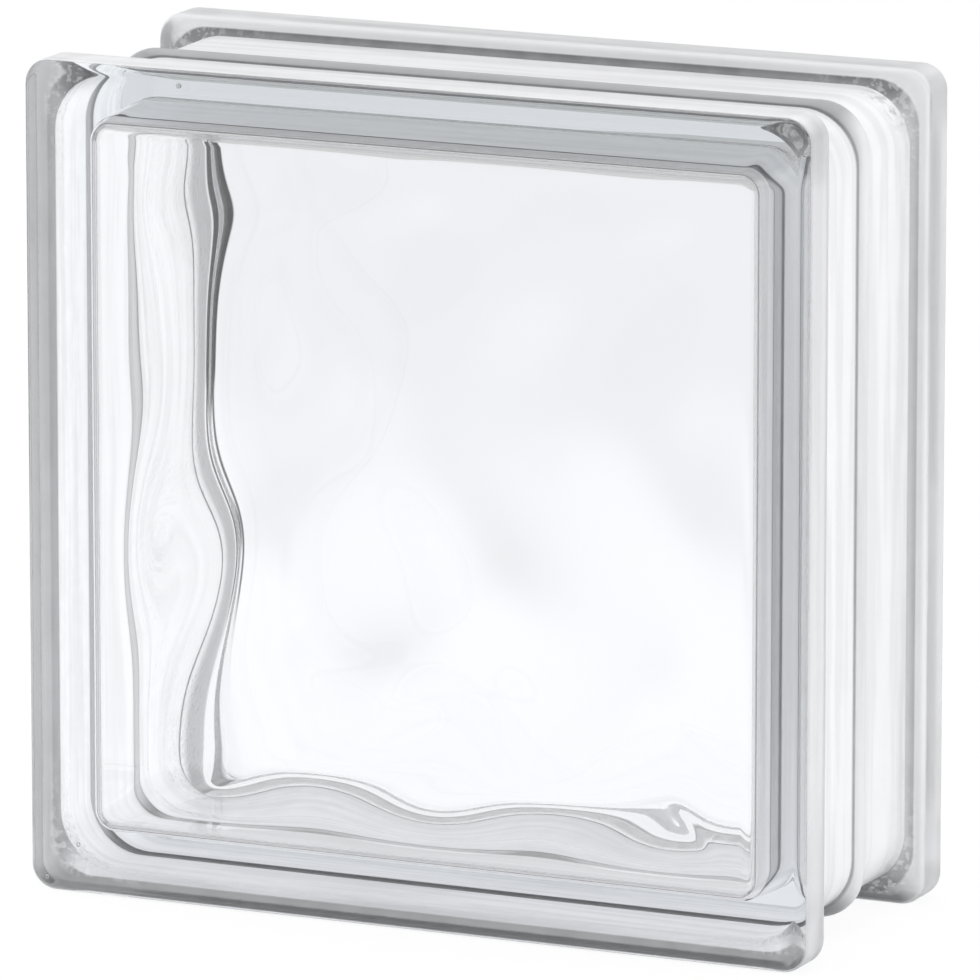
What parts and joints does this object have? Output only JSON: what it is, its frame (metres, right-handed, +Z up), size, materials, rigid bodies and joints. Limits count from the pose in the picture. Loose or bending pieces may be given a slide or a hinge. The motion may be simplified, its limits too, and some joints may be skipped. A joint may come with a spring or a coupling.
{
  "type": "glass block",
  "caption": "Square hollow clear-glass building block with raised lips, side mortar channels, a fused middle seam and wavy inner faces.",
  "frame": {"origin": "middle of the block's footprint, on the plane it stands on", "axes": "+X right along the face, +Y from the front face to the back face, +Z up"},
  "size_m": [0.19, 0.08, 0.19],
  "materials": {
    "clear_glass": "clear pressed glass with a faint blue-green tint, smooth outside, wavy inside, slightly rough lip edges"
  },
  "bodies": {
    "root": {"front_half": "clear_glass", "back_half": "clear_glass"}
  },
  "joints": []
}
